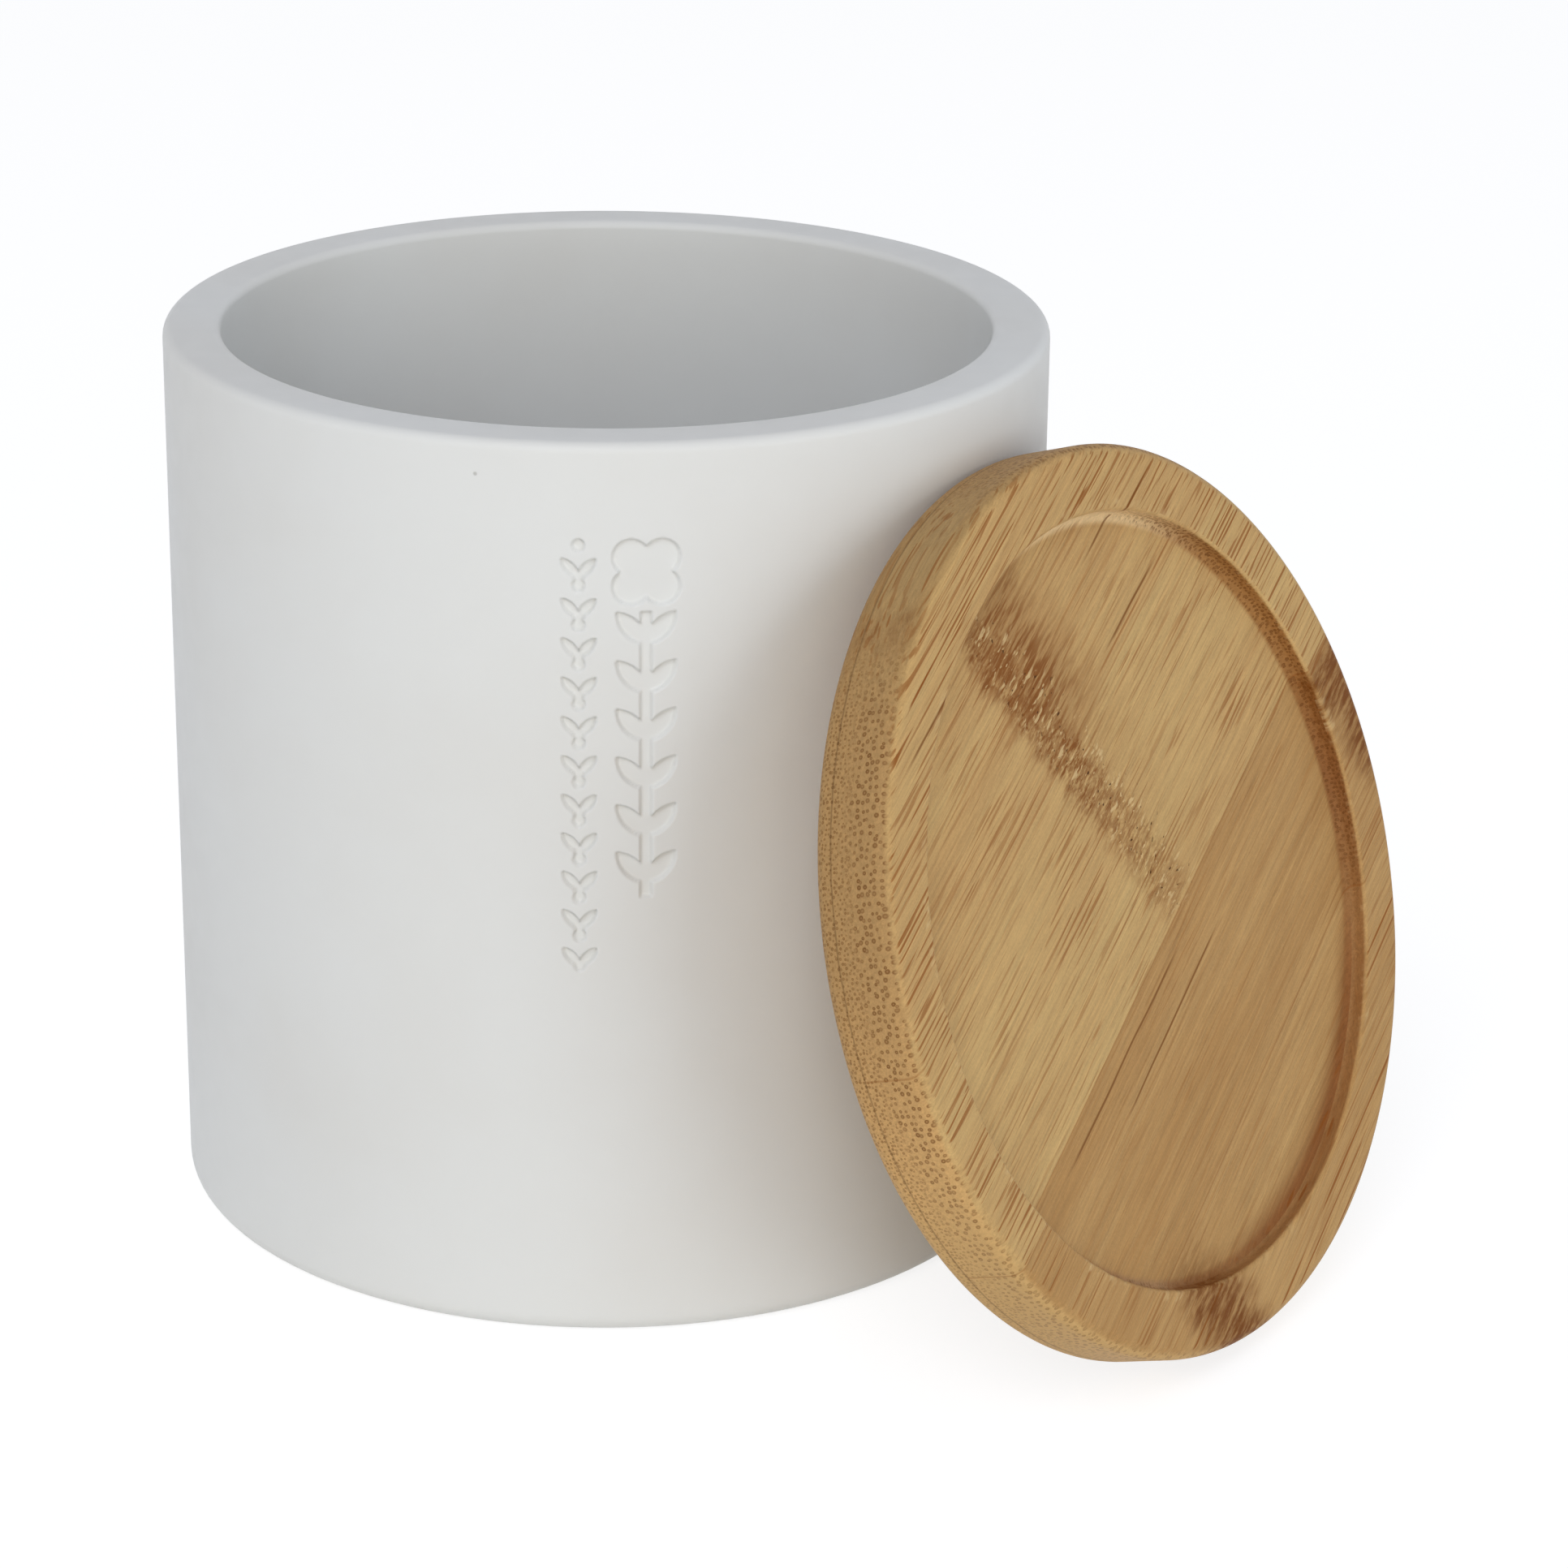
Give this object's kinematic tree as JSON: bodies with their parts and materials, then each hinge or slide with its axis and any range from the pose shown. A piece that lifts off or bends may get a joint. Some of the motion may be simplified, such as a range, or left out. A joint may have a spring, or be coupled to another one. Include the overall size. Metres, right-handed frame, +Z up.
{
  "type": "cotton ball jar",
  "caption": "Round straight-sided jar with a pressed sprig ornament and a dished bamboo lid that leans on its wall.",
  "frame": {"origin": "middle of the jar's flat foot, on the surface that it stands on", "axes": "+Z up the jar's axis, out of its mouth; -Y towards the front, where the ornament is; the lid leans on the wall between +X and -Y"},
  "size_m": [0.1418, 0.135, 0.103],
  "materials": {
    "cast_jar": "matt off-white, fine-grained and lightly uneven",
    "bamboo": "laminated bamboo, sanded and lightly oiled"
  },
  "bodies": {
    "root": {"jar": "cast_jar", "lid": "bamboo"}
  },
  "joints": []
}
